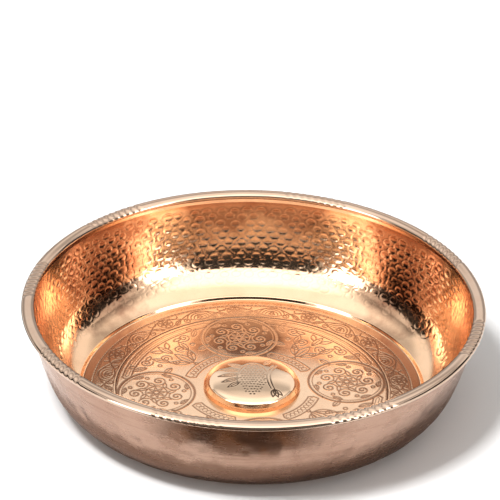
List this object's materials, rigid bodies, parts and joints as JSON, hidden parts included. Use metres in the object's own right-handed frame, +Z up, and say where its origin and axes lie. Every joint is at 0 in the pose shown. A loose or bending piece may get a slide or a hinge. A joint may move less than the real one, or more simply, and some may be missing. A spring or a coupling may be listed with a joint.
{
  "type": "bath bowl",
  "caption": "Shallow round hammered copper bath bowl with a wired rolled rim, a stepped engraved floor and a raised hollow centre boss for the fingers.",
  "frame": {"origin": "centre of the bowl on its resting plane", "axes": "+Z up along the bowl's axis; -Y is the side nearest the viewer; +X to the viewer's right"},
  "size_m": [0.2, 0.2, 0.0455],
  "materials": {
    "hammered_copper": "satin, hammered wall",
    "polished_copper": "polished",
    "steel_wire": "drawn",
    "tin_solder": "dull"
  },
  "bodies": {
    "root": {"bowl_shell": "hammered_copper", "rim_wire": "steel_wire", "centre_boss": "polished_copper", "boss_solder": "tin_solder"}
  },
  "joints": []
}
